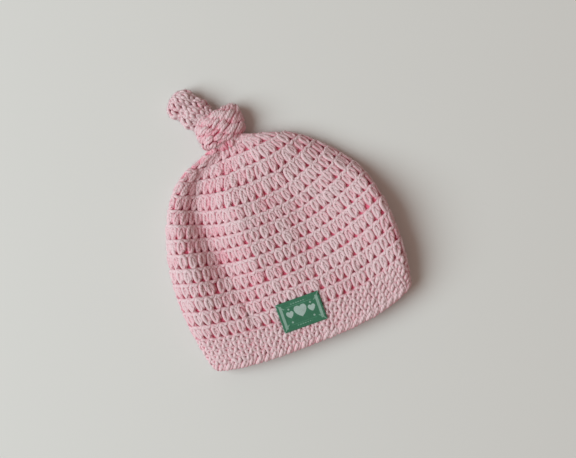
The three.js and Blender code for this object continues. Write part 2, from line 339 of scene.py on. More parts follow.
def hat_fabric(rows=190, columns=640):
    left, right = side_outline(-1), side_outline(1)
    heights = np.linspace(0, NECK_END, rows)
    angle = np.linspace(math.pi, -math.pi, ROUND_STEPS)
    c, s = np.cos(angle), np.sin(angle)
    front = angle >= 0
    across = np.sign(c) * np.abs(c) ** np.where(front, SPREAD_FRONT, SPREAD_BACK)
    grid = []
    for h in heights:
        share = h / NECK_END
        edge_l, edge_r = along(left, share), along(right, share)
        mid_y = middle_y(h)
        mid_x = float(centre_x(mid_y)) * (1 - share ** LEAN_LATE) + NECK[0] * share ** LEAN_LATE
        bow = BOW - BOW_LESS * min(1, h / BOW_HEIGHT)
        lift = np.where(front, 0, BACK_RISE * (1 - share))
        far = np.where(across > 0, edge_r[0] - mid_x, mid_x - edge_l[0])
        rise = np.where(across > 0, edge_r[1] - mid_y, edge_l[1] - mid_y)
        x = mid_x + far * across
        y = mid_y + rise * np.abs(across) ** bow + lift * (1 - np.abs(across) ** 2)
        z = pouch_z(x, y, front)
        gather = float(smooth(h, GATHER_START, GATHER_END))
        neck_y = NECK[1] - GATHER_BELOW + GATHER_LENGTH * (h - CROWN_END) / (NECK_END - CROWN_END)
        spread = GATHER_WIDE - GATHER_LESS * float(smooth(h, CROWN_END - TALL_PITCH, NECK_END))
        gathered_z = NECK[2] - GATHER_DROP + GATHER_THICK * s
        gathered = np.stack([NECK[0] + spread * c, np.full_like(c, neck_y), gathered_z], 1)
        row = np.stack([x, y, z], 1)
        row = row + (gathered - row) * gather
        grid.append(even_round(np.concatenate([row, row[:1]]), columns))
    return Fabric(heights, np.array(grid))


# ---- Yarn ----

# Each strand of a stitch: along the round in stitch widths, up in rounds, out of the fabric in millimetres.
TALL_LOOP = (
    (0.02, -0.10, -0.8), (-0.12, 0.08, 0.1), (-0.26, 0.27, 0.75), (-0.32, 0.52, 1.0), (-0.27, 0.80, 1.1),
    (-0.06, 0.95, 1.1), (0.18, 0.87, 0.95), (0.29, 0.66, 0.75), (0.27, 0.44, 0.4), (0.16, 0.24, -0.5),
)
TALL_CORE = ((0.10, 0.00, -0.6), (0.05, 0.28, 0.5), (-0.02, 0.56, 0.55), (-0.05, 0.84, 0.3))
TALL_FILL = ((0.52, 0.28, -1.3), (0.52, 0.50, -0.2), (0.50, 0.78, 0.1), (0.46, 1.0, 0.3))
TALL_WRAP = (
    (-0.36, 0.10, -0.9), (-0.20, 0.13, 0.6), (-0.01, 0.24, 1.15), (0.15, 0.37, 0.9), (0.30, 0.50, -0.3),
)
TALL_RIDGE = ((-0.5, 0.95, 1.3), (-0.25, 1.01, 1.0), (0.0, 1.02, 0.6), (0.25, 0.98, 1.0))
STRETCHED_LEFT = (
    (0.12, -0.26, -1.0), (-0.12, 0.04, 0.4), (-0.27, 0.38, 1.1), (-0.21, 0.76, 0.9), (0.02, 1.06, -0.6),
)
STRETCHED_RIGHT = (
    (-0.14, -0.14, -0.9), (0.12, 0.14, 0.3), (0.27, 0.50, 0.9), (0.24, 0.88, 0.6), (0.08, 1.14, -0.9),
)
STRETCHED_FILL = ((0.46, -0.1, -0.7), (0.52, 0.3, -0.2), (0.50, 0.7, -0.2), (0.54, 1.0, -0.7))
CLOSE_LEFT = ((0.06, -0.18, -0.6), (-0.12, 0.12, 0.6), (-0.29, 0.52, 1.1), (-0.34, 1.00, 0.4))
CLOSE_RIGHT = ((-0.08, -0.14, -0.3), (0.12, 0.16, 1.0), (0.32, 0.54, 1.3), (0.48, 1.02, 0.5))
CLOSE_FILL = ((-0.5, 0.42, -0.9), (-0.2, 0.48, -0.4), (0.1, 0.52, -0.3), (0.4, 0.46, -0.9))
CLOSE_RIDGE = ((-0.5, 0.94, 0.0), (-0.25, 1.06, 0.7), (0.0, 1.02, 0.9), (0.25, 0.90, 0.3))
EDGE_STROKE = (
    (-0.60, -0.24, -1.2), (-0.46, -0.12, 0.1), (-0.20, 0.20, 0.8), (0.12, 0.66, 1.0), (0.36, 1.16, 0.5),
)
EDGE_STROKE_2 = (
    (-0.12, -0.24, -1.2), (0.02, -0.12, 0.0), (0.26, 0.24, 0.6), (0.56, 0.70, 0.7), (0.80, 1.14, 0.0),
)
EDGE_FILL = ((-0.5, 0.72, 0.0), (-0.2, 0.80, 0.2), (0.1, 0.76, 0.0), (0.3, 0.74, 0.2))

INSIDE_POST = ((-0.06, 0.0, -1.5), (-0.02, 0.3, -2.0), (0.04, 0.7, -2.0), (0.10, 1.0, -1.7))
INSIDE_RIM = ((-0.5, 0.14, -1.5), (-0.25, 0.22, -1.8), (0.0, 0.26, -1.9), (0.25, 0.20, -1.7))
INSIDE_CHAIN = ((-0.5, 0.90, -1.9), (-0.25, 0.98, -2.3), (0.0, 0.98, -2.5), (0.25, 0.92, -2.2))

LOOP_RADIUS = 1.40
CORE_RADIUS = 1.42
WRAP_RADIUS = 1.18
FILL_RADIUS = 1.20
STRETCHED_RADIUS = 1.28
CLOSE_RADIUS = 1.42
EDGE_RADIUS = 1.60
EDGE_RADIUS_2 = 1.40
RIDGE_RADIUS = 1.28
INSIDE_RADIUS = 1.25
INSIDE_OFFSET = 1.0  # how much further in the wearer's side of the fabric lies than its middle
INSIDE_TOP = 102.0  # fabric height up to which the wearer's side can be seen through the mouth
YARN_FLATNESS = 0.8  # yarn's height out of the fabric over its width, pressed by its neighbours
SIDE_DEPTH = 1.3  # how fast a strand counts as deeper down its sides, over its radius, for the painted shade
LIFT_LOW, LIFT_HIGH = -0.7, 2.7  # heights out of the fabric that get the deepest painted shade and the palest colour
FOLD_SHADE = 0.018  # painted shade in the long fold: paleness taken off for each millimetre of its depth
FOLD_SHADE_Z = (5, 8)  # heights in the hat over which that sets in
PRESS_Z = 0.9  # yarn lower than this is pressed against the surface under the hat
PRESS_SHARE = 0.32
UNEVEN = (0.045, 0.035, 0.18, 0.08, 0.06)  # stitches' differences along, up, in lift, lean and width
MEAN_LEAN = 0.02
WANDER_SHARE = 0.5  # how much of its looseness a strand's end wanders along the fabric
SIZE_NOISE = 0.04
EVEN_LOOSE = 0.12  # how far a strand's ends wander in the steadiest stitches
RIDGE_NOISE, RIDGE_WANDER = 0.10, 0.15

# Each kind's strands: path, samples when fine or coarse, change in sides, radius, looseness, share laid.
WORKED = {
    "tall": (
        (TALL_FILL, (6, 5), -1, FILL_RADIUS, 0.25, 1.0), (TALL_LOOP, (20, 14), 0, LOOP_RADIUS, 0.2, 1.0),
        (TALL_CORE, (7, 5), 0, CORE_RADIUS, 0.3, 1.0), (TALL_WRAP, (9, 7), 0, WRAP_RADIUS, 0.2, 1.0),
    ),
    "stretched": (
        (STRETCHED_FILL, (6, 6), -2, STRETCHED_RADIUS, 0.4, 0.4),
        (STRETCHED_LEFT, (12, 12), 0, STRETCHED_RADIUS, 0.5, 0.93),
        (STRETCHED_RIGHT, (12, 12), 0, STRETCHED_RADIUS, 0.5, 0.86),
    ),
    "close": (
        (CLOSE_FILL, (6, 6), -1, FILL_RADIUS, 0.2, 0.9), (CLOSE_LEFT, (9, 7), 0, CLOSE_RADIUS, 0.18, 1.0),
        (CLOSE_RIGHT, (9, 7), 0, CLOSE_RADIUS, 0.18, 1.0),
    ),
    "edge": (
        (EDGE_STROKE, (11, 8), 0, EDGE_RADIUS, EVEN_LOOSE, 1.0),
        (EDGE_STROKE_2, (11, 8), 0, EDGE_RADIUS_2, EVEN_LOOSE, 1.0),
    ),
}
FINE_SIDES, COARSE_SIDES = 8, 6


def press_flat(points):
    z = points[:, 2]
    points[:, 2] = np.where(z < PRESS_Z, PRESS_Z - (PRESS_Z - z) * PRESS_SHARE, z)
    return points


def make_mesh(name, verts, quads, material, uvs=None, points=None):
    """points holds one value per vertex for each named attribute."""
    places = (press_flat(verts.copy()) + SHIFT) * MM
    mesh = bpy.data.meshes.new(name)
    mesh.vertices.add(len(places))
    mesh.vertices.foreach_set("co", places.astype(np.float32).ravel())
    mesh.loops.add(quads.size)
    mesh.loops.foreach_set("vertex_index", quads.astype(np.int32).ravel())
    mesh.polygons.add(len(quads))
    mesh.polygons.foreach_set("loop_start", np.arange(0, quads.size, 4, dtype=np.int32))
    mesh.polygons.foreach_set("use_smooth", np.ones(len(quads), bool))
    mesh.update(calc_edges=True)
    if uvs is not None:
        mesh.uv_layers.new(name="yarn").data.foreach_set("uv", uvs.astype(np.float32).ravel())
    for key, values in (points or {}).items():
        mesh.attributes.new(key, "FLOAT", "POINT").data.foreach_set("value", values.astype(np.float32))
    mesh.materials.append(material)
    mesh.validate()
    piece = bpy.data.objects.new(name, mesh)
    bpy.context.scene.collection.objects.link(piece)
    return piece


class Yarn:
    """Collects strands and turns them into one mesh."""

    def __init__(self):
        self.verts, self.quads, self.uvs, self.tones, self.lifts = [], [], [], [], []
        self.count = 0

    def add(self, points, normals, lift, radius, sides=8, closed=False, tone=None):
        """points and normals are [strands, steps, 3], lift is how far each point stands out of the fabric.
        Each strand becomes a round tube, closed on itself or tapered at its ends."""
        n, m = points.shape[:2]
        if closed:
            tangent = unit(np.roll(points, -1, 1) - np.roll(points, 1, 1))
            step = np.linalg.norm(points - np.roll(points, 1, 1), axis=2)
        else:
            tangent = unit(np.gradient(points, axis=1))
            step = np.linalg.norm(np.diff(points, axis=1, prepend=points[:, :1]), axis=2)
        side = unit(np.cross(tangent, normals))
        out = np.cross(side, tangent)
        radius = np.broadcast_to(np.asarray(radius, float), (n, m)).copy()
        if not closed:
            radius[:, [0, -1]] *= 0.5
        phi = math.pi + np.arange(sides) * 2 * math.pi / sides      # the seam of the map lies underneath
        c, s = np.cos(phi)[:, None], np.sin(phi)[:, None]
        ring = points[:, :, None] + radius[:, :, None, None] * (
            YARN_FLATNESS * c * out[:, :, None] + s * side[:, :, None]
        )
        base = self.count + np.arange(n)[:, None, None] * m * sides
        k = np.arange(m if closed else m - 1)[None, :, None]
        q = np.arange(sides)[None, None, :]
        k1, q1 = (k + 1) % m, (q + 1) % sides
        corners = [base + k * sides + q, base + k * sides + q1, base + k1 * sides + q1, base + k1 * sides + q]
        shape = (n, k.shape[1], sides)
        quads = np.stack([np.broadcast_to(c, shape) for c in corners], -1).reshape(-1, 4)
        travel = np.cumsum(step, axis=1)
        travel_next = np.roll(travel, -1, 1)
        if closed:
            travel_next[:, -1] = travel[:, -1] + step[:, 0]
        v0, v1 = (np.broadcast_to(t[:, :k.shape[1], None], shape) for t in (travel, travel_next))
        u0, u1 = (np.broadcast_to(t / sides, shape) for t in (q, q + 1))
        uv = np.stack([np.stack(pair, -1) for pair in ((u0, v0), (u1, v0), (u1, v1), (u0, v1))], -2)
        self.verts.append(ring.reshape(-1, 3))
        # Painted shade: a strand's sides and underside count as lying deeper, so they get a deeper rose
        # colour.
        self.lifts.append((lift[:, :, None] + SIDE_DEPTH * radius[:, :, None] * np.cos(phi)).ravel())
        self.quads.append(quads)
        self.uvs.append(uv.reshape(-1, 2))
        self.tones.append(np.repeat(rng.random(n) if tone is None else tone, m * sides))
        self.count += n * m * sides

    def build(self, name, material, extra_shade=0.0):
        """The last argument is a share of paleness taken off the whole piece, as painted shade."""
        verts = np.concatenate(self.verts)
        x, y, z = verts.T
        # Painted shade: the wool gets a deeper rose where it lies deeper in the fabric, down in the long
        # fold, and over whole pieces near the knot.
        out = (np.concatenate(self.lifts) - LIFT_LOW) / (LIFT_HIGH - LIFT_LOW) - extra_shade
        out = out - FOLD_SHADE * valley_depth(x, y) * smooth(z, *FOLD_SHADE_Z)
        quads = np.concatenate(self.quads)
        values = {"tone": np.concatenate(self.tones), "out": np.clip(out, 0, 1)}
        return make_mesh(name, verts, quads, material, np.concatenate(self.uvs), values)


class Stitches:
    """Where a run of stitches sits, and how each one differs a little from the rest."""

    def __init__(self, fabric, tau, width, h, pitch, uneven=1.0):
        n = len(tau)
        self.fabric, self.width, self.pitch = fabric, width, pitch
        along_it, up, self.lift, lean, wide = (rng.normal(0, size * uneven, n) for size in UNEVEN)
        self.tau = tau + along_it * width
        self.h = h + up * pitch
        self.lean = MEAN_LEAN + lean
        self.wide = 1 + wide
        self.tone = rng.random(n)


def lay(yarn, stitches, strand, samples, sides, radius, loose=EVEN_LOOSE, share=1.0, inside=False):
    """Lays one strand of every stitch, or of a share of them. inside is for strands on the wearer's side."""
    path = smooth_curve(strand, samples)
    n = len(stitches.tau)
    ends = rng.normal(0, loose, (2, n, 3))
    t = np.linspace(0, 1, samples)[None, :, None]
    wander = ends[0][:, None] * (1 - t) + ends[1][:, None] * t
    u = path[None, :, 0] * stitches.wide[:, None] + stitches.lean[:, None] * path[None, :, 1]
    u = u + wander[..., 0] * WANDER_SHARE / STITCH_WIDTH
    w = path[None, :, 1] + wander[..., 1] * WANDER_SHARE / stitches.pitch
    lift = path[None, :, 2] + wander[..., 2] + stitches.lift[:, None]
    tau = stitches.tau[:, None] + u * stitches.width
    h = stitches.h[:, None] + w * stitches.pitch
    points, normals = stitches.fabric.place(tau, h, lift)
    size = radius * (1 + rng.normal(0, SIZE_NOISE, (n, 1)))
    kept = rng.random(n) < share
    points, normals, lift, size = points[kept], normals[kept], lift[kept], size[kept]
    if inside:
        normals, lift = -normals, -lift - INSIDE_OFFSET
    yarn.add(points, normals, lift, size, sides, tone=stitches.tone[kept])


def work_stitches(yarn, stitches, kind, fine=True, scale=1.0):
    for strand, samples, more, radius, loose, share in WORKED[kind]:
        sides = (FINE_SIDES if fine else COARSE_SIDES) + more
        lay(yarn, stitches, strand, samples[0 if fine else 1], sides, radius * scale, loose, share)


def lay_ridge(
    yarn, fabric, strand, stitches, phase, h0, pitch, steps=7, sides=7, radius=RIDGE_RADIUS, inside=False,
):
    """Lays the chain of loops along the top of one round, as one strand that closes on itself."""
    path = smooth_curve(list(strand) + [(strand[0][0] + 1, strand[0][1], strand[0][2])], steps + 1)[:-1]
    wander = rng.normal(0, RIDGE_NOISE, (stitches, 1))
    tau = ((np.arange(stitches)[:, None] + phase + path[None, :, 0]) / stitches).ravel()
    h = (h0 + (path[None, :, 1] + wander * RIDGE_WANDER) * pitch).ravel()
    lift = (path[None, :, 2] + wander).ravel()
    points, normals = fabric.place(tau, h, lift)
    if inside:
        normals, lift = -normals, -lift - INSIDE_OFFSET
    yarn.add(points[None], normals[None], lift[None], radius, sides, closed=True)


# ---- Materials ----

def new_material(name):
    material = bpy.data.materials.new(name)
    material.use_nodes = True
    tree = material.node_tree
    return material, tree, tree.nodes["Principled BSDF"]


def node(tree, kind, **settings):
    made = tree.nodes.new(kind)
    for key, value in settings.items():
        if hasattr(made, key):
            setattr(made, key, value)
        else:
            made.inputs[key].default_value = value
    return made


def colour_ramp(tree, stops):
    made = tree.nodes.new("ShaderNodeValToRGB")
    ramp = made.color_ramp
    while len(ramp.elements) < len(stops):
        ramp.elements.new(0.5)
    for element, (where, colour) in zip(ramp.elements, stops):
        element.position = where
        element.color = (*colour, 1)
    return made


def multiply_add(tree, value, factor, plus):
    """value * factor + plus, where plus is a number or another socket."""
    made = node(tree, "ShaderNodeMath", operation="MULTIPLY_ADD")
    tree.links.new(value, made.inputs[0])
    made.inputs[1].default_value = factor
    if isinstance(plus, float):
        made.inputs[2].default_value = plus
    else:
        tree.links.new(plus, made.inputs[2])
    return made.outputs[0]


PLIES, LAY_LENGTH = 3.0, 2.1  # plies in the yarn, and millimetres for one turn of its twist
BLOTCH_SCALE, FINE_SCALE = 70.0, 900.0
# What each part adds to how pale the wool is.
TONE_SHARE, BLOTCH_SHARE, FINE_SHARE, TWIST_SHARE, PALE_SHIFT = 0.12, 0.20, 0.42, 0.07, -0.37
FIBRES_ROUND, FIBRES_ALONG, FIBRES_APART = 7.0, 0.7, 90.0
PLY_RELIEF, RELIEF_STRENGTH, RELIEF_DEPTH = 0.32, 0.6, 0.0005
WOOL_ROUGHNESS, WOOL_SPECULAR = 0.95, 0.2
SHEEN_ROUGHNESS, SHEEN_TINT = 0.5, (1.0, 0.93, 0.93, 1)


def noise(tree, scale, detail=2.0):
    """Noise over the piece's own coordinates."""
    coords = node(tree, "ShaderNodeTexCoord")
    made = node(tree, "ShaderNodeTexNoise", Scale=scale, Detail=detail)
    tree.links.new(coords.outputs["Object"], made.inputs["Vector"])
    return made.outputs["Fac"]


def attribute(tree, name):
    return node(tree, "ShaderNodeAttribute", attribute_name=name).outputs["Fac"]


def mapped(tree):
    """The yarn map's two coordinates."""
    uv = node(tree, "ShaderNodeUVMap", uv_map="yarn")
    split = node(tree, "ShaderNodeSeparateXYZ")
    tree.links.new(uv.outputs["UV"], split.inputs[0])
    return split.outputs


def sine(tree, value, factor):
    made = node(tree, "ShaderNodeMath", operation="SINE")
    tree.links.new(multiply_add(tree, value, factor, 0.0), made.inputs[0])
    return made.outputs[0]


def paint(tree, shader, level, stops):
    ramp = colour_ramp(tree, stops)
    tree.links.new(level, ramp.inputs["Fac"])
    tree.links.new(ramp.outputs["Color"], shader.inputs["Base Color"])


def emboss(tree, shader, height, strength, depth):
    relief = node(tree, "ShaderNodeBump", Strength=strength, Distance=depth)
    tree.links.new(height, relief.inputs["Height"])
    tree.links.new(relief.outputs["Normal"], shader.inputs["Normal"])


def wool(name, stops, sheen):
    """Twisted wool, painted with its own shade: deep rose where it lies deep in the fabric, and paler where
    it stands out, partly its pale fibre halo and partly painted highlight.
    """
    material, tree, shader = new_material(name)
    tone = attribute(tree, "tone")
    level = multiply_add(tree, tone, TONE_SHARE, attribute(tree, "out"))
    level = multiply_add(tree, noise(tree, BLOTCH_SCALE), BLOTCH_SHARE, level)
    level = multiply_add(tree, noise(tree, FINE_SCALE, 3.0), FINE_SHARE, level)
    # Plies twisted together, and fibres that follow the twist.
    split = mapped(tree)
    turn = multiply_add(tree, split["Y"], 1 / LAY_LENGTH, multiply_add(tree, split["X"], PLIES, 0.0))
    wave = sine(tree, turn, 2 * math.pi)
    level = multiply_add(tree, wave, TWIST_SHARE, level)
    paint(tree, shader, multiply_add(tree, level, 1.0, PALE_SHIFT), stops)
    twisted = node(tree, "ShaderNodeCombineXYZ")
    parts = (("X", turn, FIBRES_ROUND), ("Y", split["Y"], FIBRES_ALONG), ("Z", tone, FIBRES_APART))
    for axis, value, factor in parts:
        tree.links.new(multiply_add(tree, value, factor, 0.0), twisted.inputs[axis])
    fibres = node(tree, "ShaderNodeTexNoise", Scale=1.0, Detail=2.0)
    tree.links.new(twisted.outputs[0], fibres.inputs["Vector"])
    height = multiply_add(tree, wave, PLY_RELIEF, fibres.outputs["Fac"])
    emboss(tree, shader, height, RELIEF_STRENGTH, RELIEF_DEPTH)
    shader.inputs["Roughness"].default_value = WOOL_ROUGHNESS
    shader.inputs["Specular IOR Level"].default_value = WOOL_SPECULAR
    shader.inputs["Sheen Weight"].default_value = sheen
    shader.inputs["Sheen Roughness"].default_value = SHEEN_ROUGHNESS
    shader.inputs["Sheen Tint"].default_value = SHEEN_TINT
    return material


# Painted shade and highlight: colours by how far out of the fabric the wool stands, deep rose down in it and
# pale at its outside.
YARN_STOPS = (
    (0.00, (0.80, 0.19, 0.285)), (0.36, (0.79, 0.32, 0.395)), (0.66, (0.78, 0.445, 0.495)),
    (1.00, (0.765, 0.58, 0.605)),
)
# Painted shade sheets behind the stitches: deep rose under the hat's and knot's stitches, a paler rose inside
# the tail.
SHADE_SHEET_STOPS = ((0.0, (0.84, 0.17, 0.275)), (1.0, (0.89, 0.24, 0.34)))
TAIL_SHADE_SHEET_STOPS = ((0.0, (0.80, 0.30, 0.38)), (1.0, (0.84, 0.42, 0.48)))
YARN_SHEEN = 0.2
yarn_material = wool("pink_wool", YARN_STOPS, YARN_SHEEN)
shade_sheet_wool = wool("pink_wool_shade_sheet", SHADE_SHEET_STOPS, 0.0)
tail_shade_sheet_wool = wool("pink_wool_tail_shade_sheet", TAIL_SHADE_SHEET_STOPS, 0.0)


# ---- The hat's rounds ----

SEAM_Y = 112.0  # where the front layer bends up from the crown
RIDGE_SEAM_Y = SEAM_Y - 4
FIT_SLACK = 4.5  # stitches more or fewer that a round of the body may differ by and keep its count
FEWEST_STITCHES = 14
LAST_ROUND = 0.3  # share of a round that still has to fit under the neck's end
DRIFT = {"edge": 0.0, "close": -0.34, "tall": -0.10}  # how far each round's stitches shift along it
UPPER_ROUND = 5
GATHER_FROM = CROWN_END - 0.5 * TALL_PITCH
FRONT_NORMAL = -0.15  # fabric whose normal has a higher Z than this is in the front layer
MIDDLE_TAU = 0.25  # the middle of the front layer, as a share of the round
POST_SAMPLES, CHAIN_STEPS, INSIDE_SIDES = 5, 6, 6
hat = hat_fabric()
yarns = {}


def yarn_for(name):
    return yarns.setdefault(name, Yarn())


def stitches_at(h):
    fit = hat.round_length(h) / STITCH_WIDTH
    return BODY_STITCHES if abs(fit - BODY_STITCHES) < FIT_SLACK else max(FEWEST_STITCHES, round(fit))


def hat_rounds():
    """Every round of the hat from the rim to the neck: kind, height, pitch, stitches and phase."""
    made = [("edge", 0.0, EDGE_HEIGHT, BODY_STITCHES)]
    for k in range(BRIM_ROUNDS):
        made.append(("close", EDGE_HEIGHT + k * BRIM_PITCH, BRIM_PITCH, BODY_STITCHES))
    h = BAND_TOP
    while h < NECK_END - LAST_ROUND * TALL_PITCH:
        made.append(("tall", h, TALL_PITCH, stitches_at(h + TALL_PITCH / 2)))
        h += TALL_PITCH
    phases = np.cumsum([DRIFT[kind] for kind, *_ in made])
    return [(*item, phase) for item, phase in zip(made, phases)]


def work_round(kind, low, pitch, count, phase):
    """Works one round, each stitch into the piece of its zone and its layer."""
    tau = (np.arange(count) + phase) / count
    centre, normal = hat.place(tau, np.full(count, low + pitch / 2), np.zeros(count))
    front = normal[:, 2] > FRONT_NORMAL
    if kind != "tall":
        zone = np.full(count, "brim")
    elif low > GATHER_FROM:
        zone = np.full(count, "gather")
    else:
        body = "upper" if low > BAND_TOP + UPPER_ROUND * TALL_PITCH else "lower"
        zone = np.where(centre[:, 1] > SEAM_Y, "crown", body)
    for facing in (True, False):
        for place in np.unique(zone):
            pick = (front == facing) & (zone == place)
            if pick.any():
                put = Stitches(hat, tau[pick], 1 / count, np.full(pick.sum(), low), pitch)
                work_stitches(yarn_for(f"{place}_{'front' if facing else 'back'}"), put, kind, facing)
                if kind != "edge" and low < INSIDE_TOP:
                    posts = yarn_for("inside")
                    lay(posts, put, INSIDE_POST, POST_SAMPLES, INSIDE_SIDES, INSIDE_RADIUS, inside=True)
    if low < INSIDE_TOP:
        for strand in (INSIDE_RIM, INSIDE_CHAIN) if kind == "edge" else (INSIDE_CHAIN,):
            lay_ridge(
                yarn_for("inside"), hat, strand, count, phase, low, pitch, CHAIN_STEPS, INSIDE_SIDES,
                INSIDE_RADIUS, inside=True,
            )
    if kind == "edge":
        lay_ridge(yarn_for("ridges"), hat, EDGE_FILL, count, phase, low, pitch)
    else:
        ridge = TALL_RIDGE if kind == "tall" else CLOSE_RIDGE
        middle = float(hat.place(np.array([MIDDLE_TAU]), np.array([low + pitch]), np.zeros(1))[0][0, 1])
        name = "crown_ridges" if middle > RIDGE_SEAM_Y else "ridges"
        lay_ridge(yarn_for(name), hat, ridge, count, phase, low, pitch)


for item in hat_rounds():
    work_round(*item)


# ---- A sheet of painted shade behind the stitches ----

SHEET_OUTER, SHEET_INNER = -0.7, -1.5  # its two sides, from the middle of the stitches
SHEET_START, SHEET_END = 1.2, 0.6  # how far it stops short of the fabric's ends


def shade_sheet(
    name, fabric, rows, columns, keep=None, start=SHEET_START, end=SHEET_END, material=shade_sheet_wool,
):
    """A thin sheet behind the stitches, coloured deep rose as painted shade in the holes between them. keep
    tells which of its cells to make, by the cells' middles.
    """
    h = np.linspace(fabric.low + start, fabric.high - end, rows)
    tau = np.arange(columns) / columns
    hh, tt = np.meshgrid(h, tau, indexing="ij")
    outside, _ = fabric.place(tt, hh, np.full(hh.shape, SHEET_OUTER))
    inside, _ = fabric.place(tt, hh, np.full(hh.shape, SHEET_INNER))
    verts = np.concatenate([outside.reshape(-1, 3), inside.reshape(-1, 3)])
    size = rows * columns
    r, c = (a.ravel() for a in np.meshgrid(np.arange(rows - 1), np.arange(columns), indexing="ij"))
    cells = np.stack([r * columns + c, r * columns + (c + 1) % columns], -1)
    cells = np.concatenate([cells, cells[:, ::-1] + columns], 1)
    if keep is not None:
        cells = cells[keep(verts[cells].mean(1))]
    quads = np.concatenate([cells, cells[:, ::-1] + size])
    edges = np.concatenate([cells[:, [k, (k + 1) % 4]] for k in range(4)])
    code = edges[:, 0] * size + edges[:, 1]
    back = edges[:, 1] * size + edges[:, 0]
    rim = edges[~np.isin(back, code)]
    quads = np.concatenate([quads, np.stack([rim[:, 1], rim[:, 0], rim[:, 0] + size, rim[:, 1] + size], -1)])
    used, quads = np.unique(quads, return_inverse=True)
    quads = quads.reshape(-1, 4)
    flat = np.zeros(len(used))
    return make_mesh(name, verts[used], quads, material, None, {"tone": flat + 0.5, "out": flat})


# ---- The knotted tail ----

KNOT_MIDDLE = np.array([-9.0, 154.7, 9.6])
KNOT_LEAN = math.radians(-1)
KNOT_TURN = (-215, 205)  # degrees that the tube wraps round the knot, from the front
KNOT_WIDE, KNOT_DEEP, KNOT_CLIMB = 12.2, 4.6, 2.5
STRAP_WIDE, STRAP_SWELL, STRAP_THICK = 8.8, 1.2, 3.9
STRAP_NARROWS, STRAP_END = 1.5, (0.85, 1)
KNOT_TWIST, TAIL_TWIST = math.radians(400), math.radians(50)
ENTRY_PATH = ((-3, 147.5, 7.6), (-9, 147.0, 7.4), (-15.5, 148.0, 7.2), (-19.8, 152.0, 7.0))
ENTRY_WIDE, ENTRY_THICK = 4.6, 4.2
TAIL_PATH = (
    (-14.0, 158.0, 8.8), (-18.3, 164.0, 8.8), (-21.4, 169.0, 8.6), (-25.6, 175.2, 8.0), (-29.2, 180.6, 7.4),
    (-31.6, 185.0, 7.0),
)
TAIL_ACROSS = (0.8, 0.6, 0)
TAIL_WIDE, TAIL_WIDENS, WIDENS_OVER = 6.0, 3.1, (0.05, 0.3)
TAIL_THICK, TAIL_THICKENS, THICKENS_OVER = 4.6, 1.1, (0.1, 0.5)
CLOSES_AT, CLOSING_POWER, LEFT_OPEN = 0.76, 2.6, 0.03
LUMP, LUMP_AT, LUMP_PITCH, LUMPS_FROM = 0.08, 0.42, 0.36, (0.15, 0.3)
NECK_START, NECK_WAY = np.array([-8.0, 139.5, 8.4]), np.array([-0.6, 10.5, 0.2])
NECK_WIDE, NECK_THICK = 6.8, 3.8
TAIL_BEND_Y = 165.0  # where the tail's root ends and its bending part begins
# Rounds worked up each tube: pitch, stitches, and how much they differ.
KNOT_STITCHES = {"pitch": 6.8, "count": 13, "scale": 0.98, "stagger": 0.5}
ENTRY_STITCHES = {"pitch": 7.0, "count": 9, "scale": 0.95, "stagger": 0.5}
TAIL_STITCHES = {"pitch": 4.1, "count": 11, "uneven": 1.7}
NECK_STITCHES = {"pitch": 5.4, "count": 10}
TUBE_UNEVEN = 1.6
TUBE_DRIFT = 0.2
TUBE_LAST_ROUND = 0.35
KNOT_STEPS, ENTRY_STEPS, TAIL_STEPS, NECK_STEPS = 170, 50, 120, 40
KNOT_ROWS, SHORT_ROWS = 150, 40
Z_AXIS = np.array([0.0, 0.0, 1.0])


def knot_fabric():
    """The tube where it wraps round itself: it comes from behind, crosses the front and goes behind again."""
    turn = np.radians(np.linspace(*KNOT_TURN, KNOT_STEPS))
    strap = np.array([math.cos(KNOT_LEAN), math.sin(KNOT_LEAN), 0])
    axis = np.array([-math.sin(KNOT_LEAN), math.cos(KNOT_LEAN), 0])
    c, s = np.cos(turn)[:, None], np.sin(turn)[:, None]
    climb = (KNOT_CLIMB * turn / turn[-1])[:, None] * axis
    path = KNOT_MIDDLE + KNOT_WIDE * s * strap + KNOT_DEEP * c * Z_AXIS + climb
    radial = unit(s / KNOT_WIDE * strap + c / KNOT_DEEP * Z_AXIS)
    across = np.cross(unit(np.gradient(path, axis=0)), radial)
    t = np.linspace(0, 1, KNOT_STEPS)
    wide = STRAP_WIDE + STRAP_SWELL * np.sin(math.pi * t) - STRAP_NARROWS * smooth(t, *STRAP_END)
    return tube_fabric(path, across, wide, np.full(KNOT_STEPS, STRAP_THICK), KNOT_TWIST, rows=KNOT_ROWS)


def entry_fabric():
    """The tube on its way from the neck into the knot, under its lower left."""
    path = smooth_curve(ENTRY_PATH, ENTRY_STEPS)
    across = np.cross(unit(np.gradient(path, axis=0)), Z_AXIS)
    wide, thick = np.full(ENTRY_STEPS, ENTRY_WIDE), np.full(ENTRY_STEPS, ENTRY_THICK)
    return tube_fabric(path, across, wide, thick, rows=SHORT_ROWS)


def tail_fabric():
    """The tube past the knot, in two plump rounds, gathered shut at its tip."""
    t = np.linspace(0, 1, TAIL_STEPS)
    path = smooth_curve(TAIL_PATH, TAIL_STEPS)
    across = np.tile(np.array(TAIL_ACROSS), (TAIL_STEPS, 1))
    shut = np.clip((t - CLOSES_AT) / (1 - CLOSES_AT), 0, 1) ** CLOSING_POWER
    closing = np.sqrt(1 - shut) * (1 - LEFT_OPEN) + LEFT_OPEN
    plump = 1 + LUMP * np.cos(2 * math.pi * (t - LUMP_AT) / LUMP_PITCH) * smooth(t, *LUMPS_FROM)
    wide = (TAIL_WIDE + TAIL_WIDENS * smooth(t, *WIDENS_OVER)) * plump * closing
    thick = (TAIL_THICK + TAIL_THICKENS * smooth(t, *THICKENS_OVER)) * plump * closing
    return tube_fabric(path, across, wide, thick, TAIL_TWIST)


